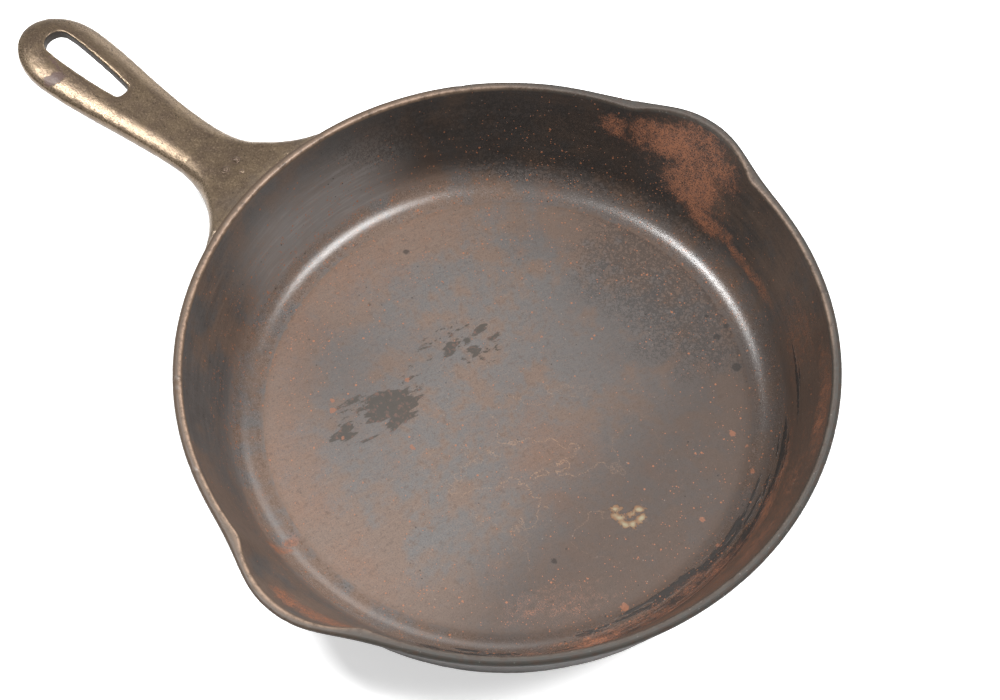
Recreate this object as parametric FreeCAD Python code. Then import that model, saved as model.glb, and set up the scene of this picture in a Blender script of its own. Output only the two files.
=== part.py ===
import FreeCAD, Part
import math
import os

# A cast iron skillet with two pour lips. The real object is one casting, and each
# node here is one region of it, cut where the regions meet, so that they touch
# face to face and never overlap.
# Millimetres. The origin is the centre of the base, on the surface that the pan
# stands on. +Z is up, +X runs along the handle, the pour lips face +Y and -Y.

# Pan
rim_radius = 114.3
rim_height = 45.2
rim_width = 3.4
rim_outer_round = 1.3
rim_inner_round = 0.9
outer_draft = math.radians(17.8)
inner_draft = math.radians(20.0)
floor_thickness = 3.0
floor_fillet = 13.0
base_round = 2.0

# Heat ring under the base
ring_height = 1.6
ring_outer_radius = 98.6
ring_width = 4.2
ring_round = 0.6

# Pour lips
lip_bulge = 8.3
lip_outer_angle = 11.1
lip_outer_power = 2.3
lip_inner_angle = 13.4
lip_kink_softness = 0.8
lip_foot_height = 12.0
lip_fade_power = 1.6
lip_half_span = 26
lip_section_step = 2

# Handle
handle_tip_x = 229.9
waist_x = 146.0
waist_half_width = 11.0
swell_x = 178.0
swell_half_width = 13.3
widest_x = 208.0
widest_half_width = 15.8
root_flare_radius = 38.0
handle_top_round = 3.9
handle_underside_round = 1.4
root_end_x = 140.0
handle_middle_height = 41.0
handle_top = [(100, 45.2), (114, 44.7), (124, 43.8), (138, 42.6), (160, 42.1), (195, 43.6), (236, 46.2)]
handle_underside = [(100, 27.5), (112, 33.4), (124, 35.6), (160, 35.8), (195, 37.3), (236, 39.9)]

# Hanging slot: its narrow end towards the pan, its round wide end towards the tip.
# It lies a little to one side of the handle, and a little turned (in degrees).
slot_start_x = 180.0
slot_end_x = 219.2
slot_start_half_width = 3.1
slot_middle_half_width = 4.7
slot_end_half_width = 5.1
slot_corner_length = 2.4
slot_corner_width = 2.0
slot_edge_round = 0.5
slot_offset_y = -1.1
slot_turn = -1.8

# Shallow hollow in the underside, all round the slot
hollow_margin = 3.6
hollow_depth = 1.4

# Raised casting mark: three plain pips
mark_x = 123.5
mark_pitch = 5.4
pip_sphere_radius = 1.7
pip_rise = 0.7

floor_top = ring_height + floor_thickness
inner_rim_radius = rim_radius - rim_width
inner_corner_radius = inner_rim_radius - (rim_height - floor_top) * math.tan(inner_draft)
floor_radius = inner_corner_radius - floor_fillet * math.tan((math.pi / 2 - inner_draft) / 2)
up = FreeCAD.Vector(0, 0, 1)
centre = FreeCAD.Vector(0, 0, 0)


def place(point, azimuth):
    """A point of the vertical section, (radius, height), in space."""
    radius, height = point
    angle = math.radians(azimuth)
    return FreeCAD.Vector(radius * math.cos(angle), radius * math.sin(angle), height)


def lip_fade(height):
    """How much of a lip's bulge is there: none at its foot, all of it at the rim."""
    share = (height - lip_foot_height) / (rim_height - lip_foot_height)
    return max(0.0, share) ** lip_fade_power


def outer_bulge(offset):
    """How far the rim's outer edge stands out, by degrees from the lip's middle."""
    edge = math.exp(-((lip_half_span / lip_outer_angle) ** lip_outer_power))
    here = math.exp(-((abs(offset) / lip_outer_angle) ** lip_outer_power))
    return lip_bulge * max(0.0, here - edge) / (1 - edge)


def inner_bulge(offset):
    """The same for the inner edge, which turns into the lip with a tighter corner."""
    if abs(offset) >= lip_half_span:
        return 0.0
    arch = lip_bulge * (1 - (offset / lip_inner_angle) ** 2)
    return (arch + math.hypot(arch, lip_kink_softness)) / 2


def outer_radius(height, bulge=0.0):
    return rim_radius - (rim_height - height) * math.tan(outer_draft) + bulge * lip_fade(height)


def inner_radius(height, bulge=0.0):
    return inner_rim_radius - (rim_height - height) * math.tan(inner_draft) + bulge * lip_fade(height)


def rounded_corner(before, corner, after, radius):
    """Start, middle and end of the arc that rounds a corner of the section."""
    towards_before = FreeCAD.Vector(before[0] - corner[0], before[1] - corner[1], 0).normalize()
    towards_after = FreeCAD.Vector(after[0] - corner[0], after[1] - corner[1], 0).normalize()
    half_turn = towards_before.getAngle(towards_after) / 2
    tip = FreeCAD.Vector(corner[0], corner[1], 0)
    reach = radius / math.tan(half_turn)
    inwards = (towards_before + towards_after).normalize()
    middle = tip + inwards * (radius / math.sin(half_turn) - radius)
    points = [tip + towards_before * reach, middle, tip + towards_after * reach]
    return [(p.x, p.y) for p in points]


def wall_section(azimuth, offset=None):
    """The closed section of the wall at an azimuth, as a wire. An offset, in
    degrees from a lip's middle, adds the lip's bulge."""
    bulge_out = 0.0 if offset is None else outer_bulge(offset)
    bulge_in = 0.0 if offset is None else inner_bulge(offset)
    step = 0.5
    outer_top = (outer_radius(rim_height, bulge_out), rim_height)
    inner_top = (inner_radius(rim_height, bulge_in), rim_height)
    below_outer = (outer_radius(rim_height - step, bulge_out), rim_height - step)
    below_inner = (inner_radius(rim_height - step, bulge_in), rim_height - step)
    base_corner = (outer_radius(ring_height), ring_height)
    above_base = (outer_radius(ring_height + step), ring_height + step)
    floor_corner = (inner_corner_radius, floor_top)
    above_floor = (inner_radius(floor_top + step), floor_top + step)
    foot_outside = (floor_radius, ring_height)
    foot_inside = (floor_radius, floor_top)

    base_arc = rounded_corner(foot_outside, base_corner, above_base, base_round)
    outer_arc = rounded_corner(below_outer, outer_top, inner_top, rim_outer_round)
    inner_arc = rounded_corner(outer_top, inner_top, below_inner, rim_inner_round)
    floor_arc = rounded_corner(above_floor, floor_corner, foot_inside, floor_fillet)

    def arc(points):
        return Part.Arc(*[place(p, azimuth) for p in points]).toShape()

    def line(first, last):
        return Part.makeLine(place(first, azimuth), place(last, azimuth))

    def flank(radius_at, bulge, first, last):
        """A side of the wall. It is straight where nothing bulges."""
        if offset is None:
            return line(first, last)
        levels = [first[1] + (last[1] - first[1]) * i / 6 for i in range(1, 6)]
        between = [(radius_at(height, bulge), height) for height in levels]
        curve = Part.BSplineCurve()
        curve.interpolate([place(p, azimuth) for p in [first] + between + [last]])
        return curve.toShape()

    edges = [
        line(foot_outside, base_arc[0]),
        arc(base_arc),
        flank(outer_radius, bulge_out, base_arc[2], outer_arc[0]),
        arc(outer_arc),
        line(outer_arc[2], inner_arc[0]),
        arc(inner_arc),
        flank(inner_radius, bulge_in, inner_arc[2], floor_arc[0]),
        arc(floor_arc),
        line(foot_inside, foot_outside),
    ]
    return Part.Wire(edges)


def wall_sector(first_azimuth, last_azimuth):
    section = Part.Face(wall_section(first_azimuth))
    return section.revolve(centre, up, last_azimuth - first_azimuth)


def pour_lip(middle_azimuth):
    offsets = range(-lip_half_span, lip_half_span + 1, lip_section_step)
    sections = [wall_section(middle_azimuth + offset, offset) for offset in offsets]
    return Part.makeLoft(sections, True)


def pan_floor():
    floor = Part.makeCylinder(floor_radius, floor_thickness)
    floor.translate(up * ring_height)
    return floor


def heat_ring():
    """A low band round the base, rounded at both edges, that the pan stands on."""
    outside = ring_outer_radius
    inside = ring_outer_radius - ring_width
    outer_arc = rounded_corner((outside, ring_height), (outside, 0), (inside, 0), ring_round)
    inner_arc = rounded_corner((outside, 0), (inside, 0), (inside, ring_height), ring_round)
    edges = [
        Part.makeLine(place((outside, ring_height), 0), place(outer_arc[0], 0)),
        Part.Arc(*[place(p, 0) for p in outer_arc]).toShape(),
        Part.makeLine(place(outer_arc[2], 0), place(inner_arc[0], 0)),
        Part.Arc(*[place(p, 0) for p in inner_arc]).toShape(),
        Part.makeLine(place(inner_arc[2], 0), place((inside, ring_height), 0)),
        Part.makeLine(place((inside, ring_height), 0), place((outside, ring_height), 0)),
    ]
    return Part.Face(Part.Wire(edges)).revolve(centre, up, 360)


def pan_envelope():
    """Everything inside the pan's outer surface and above it, to cut the handle
    back to the pan."""
    top = (rim_radius, rim_height)
    below = (outer_radius(rim_height - 1), rim_height - 1)
    rim_arc = rounded_corner(below, top, (0, rim_height), rim_outer_round)
    foot = (outer_radius(0), 0)
    above = (rim_arc[2][0], 2 * rim_height)
    edges = [
        Part.makeLine(place((0, 0), 0), place(foot, 0)),
        Part.makeLine(place(foot, 0), place(rim_arc[0], 0)),
        Part.Arc(*[place(p, 0) for p in rim_arc]).toShape(),
        Part.makeLine(place(rim_arc[2], 0), place(above, 0)),
        Part.makeLine(place(above, 0), place((0, above[1]), 0)),
        Part.makeLine(place((0, above[1]), 0), place((0, 0), 0)),
    ]
    return Part.Face(Part.Wire(edges)).revolve(centre, up, 360)


def smooth_edge(points, start_direction, end_direction):
    curve = Part.BSplineCurve()
    vectors = [FreeCAD.Vector(*p) for p in points]
    curve.interpolate(vectors, InitialTangent=start_direction, FinalTangent=end_direction)
    return curve.toShape()


def half_handle_outline(side):
    """One edge of the handle seen from above, from inside the pan to the tip."""
    flare_y = waist_half_width + root_flare_radius
    reach = rim_radius + root_flare_radius
    flare_x = math.sqrt(reach ** 2 - flare_y ** 2)
    on_rim = FreeCAD.Vector(flare_x, flare_y, 0) * (rim_radius / reach)
    turn = (math.atan2(flare_y, flare_x) + math.pi / 2) / 2
    middle_x = flare_x - root_flare_radius * math.cos(turn)
    middle_y = flare_y - root_flare_radius * math.sin(turn)
    inside = (on_rim.x * 0.8, on_rim.y * 0.8 * side, 0)
    rim_point = FreeCAD.Vector(on_rim.x, on_rim.y * side, 0)
    flare_middle = FreeCAD.Vector(middle_x, middle_y * side, 0)
    flare_end = FreeCAD.Vector(flare_x, waist_half_width * side, 0)
    waist = FreeCAD.Vector(waist_x, waist_half_width * side, 0)
    forwards = FreeCAD.Vector(1, 0, 0)
    swell = (swell_x, swell_half_width * side, 0)
    widest = (widest_x, widest_half_width * side, 0)
    widest_middle = FreeCAD.Vector(widest_x, 0, 0)
    tip = Part.Ellipse(widest_middle, handle_tip_x - widest_x, widest_half_width)
    return [
        Part.makeLine(FreeCAD.Vector(*inside), rim_point),
        Part.Arc(rim_point, flare_middle, flare_end).toShape(),
        Part.makeLine(flare_end, waist),
        smooth_edge([tuple(waist), swell, widest], forwards, forwards),
        Part.ArcOfEllipse(tip, *sorted((0, side * math.pi / 2))).toShape(),
    ]


def handle_blank():
    """The handle seen from above, cut out of the handle seen from the side."""
    halves = [half_handle_outline(1), half_handle_outline(-1)]
    inner_end = Part.makeLine(*[half[0].Vertexes[0].Point for half in halves])
    outline = Part.Face(Part.Wire(Part.__sortEdges__(halves[0] + halves[1] + [inner_end])))
    plan = outline.extrude(up * 80)

    def side_curve(points):
        curve = Part.BSplineCurve()
        curve.interpolate([FreeCAD.Vector(x, -60, z) for x, z in points])
        return curve.toShape()

    top = side_curve(handle_top)
    underside = side_curve(handle_underside)
    ends = [Part.makeLine(top.valueAt(t), underside.valueAt(u)) for t, u in
            zip(top.ParameterRange, underside.ParameterRange)]
    profile = Part.Face(Part.Wire(Part.__sortEdges__([top, underside] + ends)))
    return plan.common(profile.extrude(FreeCAD.Vector(0, 120, 0)))


def slot_outline(margin=0.0):
    """The teardrop outline of the hanging slot, or the same with a margin all round."""
    start = slot_start_x - margin
    end = slot_end_x + margin
    narrow = slot_start_half_width + margin
    middle = slot_middle_half_width + margin
    wide = slot_end_half_width + margin
    corner_x = start + slot_corner_length
    corner_y = narrow - slot_corner_width
    arc_share = 1 - math.cos(math.pi / 4)
    on_corner = (start + slot_corner_length * arc_share, narrow - slot_corner_width * arc_share)
    wide_x = slot_end_x - slot_end_half_width
    middle_x = (corner_x + wide_x) / 2

    def arc(points):
        return Part.Arc(*[FreeCAD.Vector(x, y, 0) for x, y in points]).toShape()

    def side(sign):
        return [
            arc([(start, corner_y * sign), (on_corner[0], on_corner[1] * sign), (corner_x, narrow * sign)]),
            arc([(corner_x, narrow * sign), (middle_x, middle * sign), (wide_x, wide * sign)]),
        ]

    narrow_end = Part.makeLine(FreeCAD.Vector(start, -corner_y, 0), FreeCAD.Vector(start, corner_y, 0))
    wide_end = arc([(wide_x, wide), (end, 0), (wide_x, -wide)])
    edges = side(1) + side(-1) + [narrow_end, wide_end]
    outline = Part.Face(Part.Wire(Part.__sortEdges__(edges)))
    outline.rotate(FreeCAD.Vector(middle_x, 0, 0), up, slot_turn)
    outline.translate(FreeCAD.Vector(0, slot_offset_y, 0))
    return outline


def hanging_slot():
    return slot_outline().extrude(up * 80)


def underside_hollow(blank):
    """What is cut out of the underside round the slot: everything inside the
    hollow's outline that lies below the underside moved up by the hollow's depth."""
    raised = blank.copy()
    raised.translate(up * hollow_depth)
    return slot_outline(hollow_margin).extrude(up * 80).cut(raised)


def handle_rims(shape, upper):
    """The edges between the handle's sides and its top, or its underside."""
    rims = []
    for edge in shape.Edges:
        box = edge.BoundBox
        flat = box.ZLength < 0.45 * max(box.XLength, box.YLength)
        if flat and box.XMax > rim_radius and (edge.CenterOfMass.z > handle_middle_height) == upper:
            rims.append(edge)
    return rims


def handle():
    blank = handle_blank()
    body = blank.makeFillet(handle_underside_round, handle_rims(blank, False))
    body = body.makeFillet(handle_top_round, handle_rims(body, True))
    return body.cut(pan_envelope()).cut(underside_hollow(blank)).cut(hanging_slot())


def handle_nodes():
    whole = handle()
    root_zone = Part.makeBox(root_end_x, 200, 100, FreeCAD.Vector(0, -100, 0))
    root = whole.common(root_zone)
    grip = whole.cut(root_zone)
    slot_edges = [edge for edge in grip.Edges if is_slot_rim(edge)]
    return root, grip.makeFillet(slot_edge_round, slot_edges)


def is_slot_rim(edge):
    """True for an edge between the hanging slot and the top of the handle."""
    box = edge.BoundBox
    inside_length = box.XMin > slot_start_x - 1 and box.XMax < slot_end_x + 1
    near_middle = slot_end_half_width + abs(slot_offset_y) + 1.5
    inside_width = max(box.YMax, -box.YMin) < near_middle
    return inside_length and inside_width and box.ZMin > handle_middle_height


def top_height(x):
    """The height of the handle's top at x."""
    curve = Part.BSplineCurve()
    curve.interpolate([FreeCAD.Vector(px, 0, pz) for px, pz in handle_top])
    tall = Part.Line(FreeCAD.Vector(x, 0, 0), FreeCAD.Vector(x, 0, 1))
    return curve.intersect(tall)[0].Z


def casting_mark(root):
    """Three plain raised pips in a triangle on the handle's root."""
    spread = mark_pitch / 2
    places = [(mark_x - spread, 0), (mark_x + spread, spread), (mark_x + spread, -spread)]
    pips = []
    for x, y in places:
        middle = FreeCAD.Vector(x, y, top_height(x) + pip_rise - pip_sphere_radius)
        pips.append(Part.makeSphere(pip_sphere_radius, middle).cut(root))
    return Part.makeCompound(pips)


def build():
    root, grip = handle_nodes()
    far = 180 - lip_half_span
    return {
        "pan_floor": pan_floor(),
        "heat_ring": heat_ring(),
        "side_wall_handle_side": wall_sector(-90 + lip_half_span, 90 - lip_half_span),
        "side_wall_far_side": wall_sector(90 + lip_half_span, 270 - lip_half_span),
        "pour_lip_left": pour_lip(90),
        "pour_lip_right": pour_lip(-90),
        "handle_root": root,
        "handle_grip": grip,
        "casting_mark": casting_mark(root),
    }


os.makedirs("parts", exist_ok=True)
for name, shape in build().items():
    shape.exportStep("parts/" + name + ".step")
    print(name, shape.isValid(), len(shape.Solids), round(shape.Volume / 1000, 2), "cm3")
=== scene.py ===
import math
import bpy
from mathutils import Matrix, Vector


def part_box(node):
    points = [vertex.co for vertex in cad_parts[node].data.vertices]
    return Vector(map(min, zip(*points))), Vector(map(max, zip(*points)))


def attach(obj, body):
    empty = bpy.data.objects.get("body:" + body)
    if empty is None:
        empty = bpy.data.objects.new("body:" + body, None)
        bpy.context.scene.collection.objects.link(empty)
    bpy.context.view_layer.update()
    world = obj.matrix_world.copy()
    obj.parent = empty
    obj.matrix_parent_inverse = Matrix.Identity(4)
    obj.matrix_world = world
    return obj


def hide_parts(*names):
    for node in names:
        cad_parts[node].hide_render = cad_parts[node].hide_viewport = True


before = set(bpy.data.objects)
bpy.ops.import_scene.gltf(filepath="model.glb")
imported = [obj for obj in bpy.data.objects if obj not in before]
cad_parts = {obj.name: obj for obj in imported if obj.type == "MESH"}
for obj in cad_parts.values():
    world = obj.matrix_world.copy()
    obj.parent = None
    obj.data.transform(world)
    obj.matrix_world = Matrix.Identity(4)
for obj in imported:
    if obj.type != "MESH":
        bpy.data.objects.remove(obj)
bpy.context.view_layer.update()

from types import SimpleNamespace

import bpy
import numpy as np
from mathutils import Matrix, Quaternion, Vector, geometry

# A worn cast iron skillet. Shapes and marks are worked out in millimetres, in the CAD
# frame (+Z up, +X along the handle), and turned into metres when a mesh is made.
MM = 0.001


def low(node):
    return np.array(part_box(node)[0]) / MM


def high(node):
    return np.array(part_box(node)[1]) / MM


# Sizes read from the CAD model
RIM_HEIGHT = high("side_wall_far_side")[2]
RING_HEIGHT = high("heat_ring")[2]
RING_OUTER = high("heat_ring")[0]
FLOOR_TOP = high("pan_floor")[2]
FLOOR_RADIUS = high("pan_floor")[0]
ROOT_END = high("handle_root")[0]
TIP_X = high("handle_grip")[0]
MARK_LOW = low("casting_mark")
MARK_HIGH = high("casting_mark")

# Sizes that the CAD model is built from. The rim's radius and the lips' bulge are a
# little less than there, so that the worn surface stays inside the CAD model's box.
RIM_RADIUS = 114.25
RIM_WIDTH = 3.4
RIM_OUTER_ROUND = 1.3
RIM_INNER_ROUND = 0.9
RING_WIDTH = 4.2
RING_ROUND = 0.6
RING_SUNK = 0.4              # how far the ring reaches up into the base
BASE_ROUND = 2.0
FLOOR_FILLET = 13.0
OUTER_DRAFT = math.radians(17.8)
INNER_DRAFT = math.radians(20.0)
LIP_BULGE = 7.9
LIP_OUTER_ANGLE = 11.1
LIP_OUTER_POWER = 2.3
LIP_INNER_ANGLE = 13.4
LIP_KINK_SOFTNESS = 0.8
LIP_FOOT = 12.0
LIP_FADE_POWER = 1.6
LIP_HALF_SPAN = 26

# Mesh density
FLOOR_CELLS = 270            # cells along each side of the floor's grid
COLUMNS = 4 * FLOOR_CELLS    # columns round the wall
WALL_STEP = 0.6
OUTSIDE_STEP = 0.9
UNDERSIDE_RINGS = 17
HANDLE_VOXEL = 0.4
HANDLE_SMOOTHING = 10

# The handle: its weld to the wall, the crown of its top, and where its slot lies
WELD_RADIUS = 3.0
WELD_DEPTH = 1.2
CROWN_REACH = 9.5
CROWN_MARGIN = 0.5
CROWN_SIDE = 2.2             # height of the sides that the crown leaves as they are
CROWN_START = 122
CROWN_FULL = 150
WIDEST_X = 208.0
SLOT_START = 178
SLOT_END = 221
SLOT_Y = -1.1
SLOT_HALF_WIDTH = 6.5
# What the CAD handle has along it: x, half width, underside height and top height
HANDLE_STATIONS = (
    (124, 12.5, 35.6, 43.8),
    (146, 11.0, 35.7, 42.3),
    (160, 11.6, 35.8, 42.1),
    (178, 13.3, 36.5, 42.8),
    (195, 15.0, 37.3, 43.6),
    (208, 15.8, 38.0, 44.3),
    (230, 15.8, 39.5, 45.8),
)
PIP_RISE = 0.7

# The way the floor was wiped, in degrees from the handle
WIPED_TURN = 67

# The studio: angles in radians, distances in millimetres unless said, light strengths
CAMERA_AZIMUTH = math.radians(128.6)
CAMERA_ELEVATION = math.radians(60.8)
CAMERA_DISTANCE = 691.6
LOOK_AT = (-0.2, 0.5, 32.2)
CAMERA_LENS = 72.0
PAN = -0.0031
TILT = 0.0094
ROLL = math.radians(0.70)
PAPER_GLOW = 0.56
STAGE_HALF = 3.0             # metres
WORLD_NEAR = 0.10
WORLD_FAR = 0.35


# ---------------------------------------------------------------- numbers and noise


def smooth(low_edge, high_edge, x):
    t = np.clip((x - low_edge) / (high_edge - low_edge), 0.0, 1.0)
    return t * t * (3 - 2 * t)


def lattice(ix, iy, iz, seed):
    """A repeatable random number from 0 to 1 for each point of a whole-number grid."""
    h = (ix * 374761393 + iy * 668265263 + iz * 1274126177 + seed * 974634777) & 0xFFFFFFFF
    h = ((h ^ (h >> 13)) * 1103515245) & 0xFFFFFFFF
    h = ((h ^ (h >> 15)) * 668265263) & 0xFFFFFFFF
    return ((h ^ (h >> 16)) & 0xFFFFFF) / float(0xFFFFFF)


def value_noise(points, size, seed):
    """Smooth noise from -1 to 1 with lumps about as wide as size."""
    p = points / size
    cell = np.floor(p).astype(np.int64)
    f = p - cell
    f = f * f * (3 - 2 * f)
    total = np.zeros(len(points))
    for dx in (0, 1):
        wx = f[:, 0] if dx else 1 - f[:, 0]
        for dy in (0, 1):
            wy = f[:, 1] if dy else 1 - f[:, 1]
            for dz in (0, 1):
                wz = f[:, 2] if dz else 1 - f[:, 2]
                corner = lattice(cell[:, 0] + dx, cell[:, 1] + dy, cell[:, 2] + dz, seed)
                total += wx * wy * wz * corner
    return total * 2 - 1


def fbm(points, size, octaves, seed):
    """Several octaves of noise, about -1 to 1."""
    total = np.zeros(len(points))
    weight = 1.0
    for octave in range(octaves):
        total += weight * value_noise(points, size / 2 ** octave, seed + octave)
        weight *= 0.5
    return total / 1.3


def unit(v):
    return v / np.linalg.norm(v)


def axis_distance(points):
    return np.hypot(points[:, 0], points[:, 1])


def turned(across, along, degrees):
    """Coordinates along and across a direction that is turned by that many degrees."""
    cos = math.cos(math.radians(degrees))
    sin = math.sin(math.radians(degrees))
    return across * cos + along * sin, along * cos - across * sin


def turned_section(radius, height, angle):
    """A section turned round the axis: rows follow the section, columns the angles."""
    heights = height * np.ones(len(angle))
    return np.stack([radius * np.cos(angle), radius * np.sin(angle), heights], axis=-1)


# ---------------------------------------------------------------- the pan's section


def corner_arc(before, corner, after, radius, count):
    """Points of the arc that rounds a corner of the section, both ends included."""
    corner = np.array(corner, float)
    a = unit(np.array(before) - corner)
    b = unit(np.array(after) - corner)
    half = math.acos(a @ b) / 2
    middle = corner + unit(a + b) * radius / math.sin(half)
    start = corner + a * radius / math.tan(half) - middle
    end = corner + b * radius / math.tan(half) - middle
    first = math.atan2(start[1], start[0])
    turn = math.atan2(end[1], end[0]) - first
    turn = (turn + math.pi) % (2 * math.pi) - math.pi
    angles = first + turn * np.linspace(0, 1, count)
    return middle + radius * np.c_[np.cos(angles), np.sin(angles)]


def outer_wall_radius(height):
    return RIM_RADIUS - (RIM_HEIGHT - height) * math.tan(OUTER_DRAFT)


def inner_wall_radius(height):
    return RIM_RADIUS - RIM_WIDTH - (RIM_HEIGHT - height) * math.tan(INNER_DRAFT)


def between(first, last, step):
    """Points on a straight run, without its two ends."""
    count = max(2, round(math.dist(first, last) / step))
    t = np.arange(1, count)[:, None] / count
    return np.array(first) * (1 - t) + np.array(last) * t


def pan_section():
    """The wall's section from the floor's edge inside, over the rim, to the base
    underneath: (radius, height) points, and the share of the outer surface in each."""
    outer_top = (outer_wall_radius(RIM_HEIGHT), RIM_HEIGHT)
    inner_top = (inner_wall_radius(RIM_HEIGHT), RIM_HEIGHT)
    floor_corner = (inner_wall_radius(FLOOR_TOP), FLOOR_TOP)
    base_corner = (outer_wall_radius(RING_HEIGHT), RING_HEIGHT)
    fillet = corner_arc((0, FLOOR_TOP), floor_corner, inner_top, FLOOR_FILLET, 30)
    inner_rim = corner_arc(floor_corner, inner_top, outer_top, RIM_INNER_ROUND, 6)
    outer_rim = corner_arc(inner_top, outer_top, base_corner, RIM_OUTER_ROUND, 7)
    base = corner_arc(outer_top, base_corner, (0, RING_HEIGHT), BASE_ROUND, 6)
    foot = (FLOOR_RADIUS, RING_HEIGHT)
    inside = np.vstack([fillet, between(fillet[-1], inner_rim[0], WALL_STEP), inner_rim])
    top = between(inner_rim[-1], outer_rim[0], 0.4)
    outside = np.vstack([outer_rim, between(outer_rim[-1], base[0], OUTSIDE_STEP), base])
    under = np.vstack([between(base[-1], foot, OUTSIDE_STEP), foot])
    points = np.vstack([inside, top, outside, under])
    share = np.concatenate([
        np.zeros(len(inside)),
        np.arange(1, len(top) + 1) / (len(top) + 1),
        np.ones(len(outside) + len(under)),
    ])
    points[0] = (FLOOR_RADIUS, FLOOR_TOP)
    return points, share


def lip_offset(azimuth):
    """Degrees from the middle of the nearer pour lip."""
    left = (azimuth - 90 + 180) % 360 - 180
    right = (azimuth + 90 + 180) % 360 - 180
    return np.where(np.abs(left) < np.abs(right), left, right)


def outer_bulge(offset):
    edge = math.exp(-((LIP_HALF_SPAN / LIP_OUTER_ANGLE) ** LIP_OUTER_POWER))
    here = np.exp(-((np.abs(offset) / LIP_OUTER_ANGLE) ** LIP_OUTER_POWER))
    return LIP_BULGE * np.maximum(0.0, here - edge) / (1 - edge)


def inner_bulge(offset):
    arch = LIP_BULGE * (1 - (offset / LIP_INNER_ANGLE) ** 2)
    bulge = (arch + np.hypot(arch, LIP_KINK_SOFTNESS)) / 2
    return np.where(np.abs(offset) < LIP_HALF_SPAN, bulge, 0.0)


def lip_fade(height):
    return np.maximum(0.0, (height - LIP_FOOT) / (RIM_HEIGHT - LIP_FOOT)) ** LIP_FADE_POWER


SECTION, OUTER_SHARE = pan_section()
STEPS = np.linalg.norm(np.diff(SECTION, axis=0), axis=1)
ROW_REACH = np.concatenate([[0.0], np.cumsum(STEPS)])
RIM_REACH = float(np.interp(0.5, OUTER_SHARE, ROW_REACH))


def wall_grid():
    """Every point of the wall: rows follow the section, columns go round."""
    azimuth = np.arange(COLUMNS) * 360.0 / COLUMNS
    offset = lip_offset(azimuth)
    bulge = np.outer(1 - OUTER_SHARE, inner_bulge(offset))
    bulge += np.outer(OUTER_SHARE, outer_bulge(offset))
    radius = SECTION[:, :1] + bulge * lip_fade(SECTION[:, 1:])
    return turned_section(radius, SECTION[:, 1:], np.radians(azimuth))


# ---------------------------------------------------------------- the pan's skin


def disc_grid():
    """The floor's points: a square grid stretched to a disc, so that its edge has
    the wall's columns. Also its quads, and the edge's points in column order."""
    n = FLOOR_CELLS
    steps = np.linspace(-1, 1, n + 1)
    a, b = np.meshgrid(steps, steps, indexing="ij")
    wide = np.abs(a) >= np.abs(b)
    safe_a = np.where(a == 0, 1, a)
    safe_b = np.where(b == 0, 1, b)
    radius = np.where(wide, a, b)
    angle = np.where(wide, math.pi / 4 * b / safe_a, math.pi / 2 - math.pi / 4 * a / safe_b)
    x = FLOOR_RADIUS * radius * np.cos(angle)
    y = FLOOR_RADIUS * radius * np.sin(angle)
    grid = np.stack([x, y, np.full_like(x, FLOOR_TOP)], axis=-1).reshape(-1, 3)
    edge = np.flatnonzero(np.maximum(np.abs(a), np.abs(b)).reshape(-1) > 1 - 1e-9)
    azimuth = np.degrees(np.arctan2(grid[edge, 1], grid[edge, 0]))
    edge_in_order = np.empty(COLUMNS, int)
    edge_in_order[np.round(azimuth * COLUMNS / 360).astype(int) % COLUMNS] = edge
    index = np.arange((n + 1) ** 2).reshape(n + 1, n + 1)
    quads = np.stack([index[:-1, :-1], index[1:, :-1], index[1:, 1:], index[:-1, 1:]], axis=-1)
    return grid, quads.reshape(-1, 4), edge_in_order


def ring_quads(index):
    """Quads between the rows of an index grid that closes on itself."""
    following = np.roll(index, -1, axis=1)
    return np.stack([index[:-1], index[1:], following[1:], following[:-1]], axis=-1)


def fan(loop, hub):
    """Triangles from the sides of a closed loop to one point."""
    return np.stack([loop, np.roll(loop, -1), np.full(len(loop), hub)], axis=-1)


def build_pan():
    """The pan as one closed skin. Reach is how far along its section a point lies:
    below zero on the floor, then up the inside, over the rim, down and underneath."""
    floor_points, floor_quads, floor_edge = disc_grid()
    wall = wall_grid()
    rows = len(wall)
    index = np.empty((rows, COLUMNS), int)
    index[0] = floor_edge
    index[1:] = len(floor_points) + np.arange((rows - 1) * COLUMNS).reshape(rows - 1, COLUMNS)
    shares = 1 - np.arange(1, UNDERSIDE_RINGS + 1) / (UNDERSIDE_RINGS + 1)
    under = wall[-1][None] * shares[:, None, None]
    under[:, :, 2] = RING_HEIGHT
    under_first = index[-1, -1] + 1
    under_rows = under_first + np.arange(UNDERSIDE_RINGS * COLUMNS).reshape(-1, COLUMNS)
    under_index = np.vstack([index[-1:], under_rows])
    hub = under_index[-1, -1] + 1
    points = np.vstack([
        floor_points,
        wall[1:].reshape(-1, 3),
        under.reshape(-1, 3),
        [[0, 0, RING_HEIGHT]],
    ])
    floor_reach = axis_distance(floor_points) - FLOOR_RADIUS
    under_reach = ROW_REACH[-1] + FLOOR_RADIUS * (1 - shares)
    reach = np.concatenate([
        floor_reach,
        np.repeat(ROW_REACH[1:], COLUMNS),
        np.repeat(under_reach, COLUMNS),
        [ROW_REACH[-1] + FLOOR_RADIUS],
    ])
    return SimpleNamespace(
        points=points,
        reach=reach,
        floor=floor_quads,
        wall=ring_quads(index),
        wall_index=index,
        under=ring_quads(under_index).reshape(-1, 4),
        hub=fan(under_index[-1], hub)[:, ::-1],
    )


def vertex_normals(points, quads, triangles):
    normals = np.zeros_like(points)
    for faces in (quads, triangles):
        first = points[faces[:, 2]] - points[faces[:, 0]]
        second = points[faces[:, -1]] - points[faces[:, 1]]
        for corner in range(faces.shape[1]):
            np.add.at(normals, faces[:, corner], np.cross(first, second))
    return normals / np.maximum(np.linalg.norm(normals, axis=1, keepdims=True), 1e-12)


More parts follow.
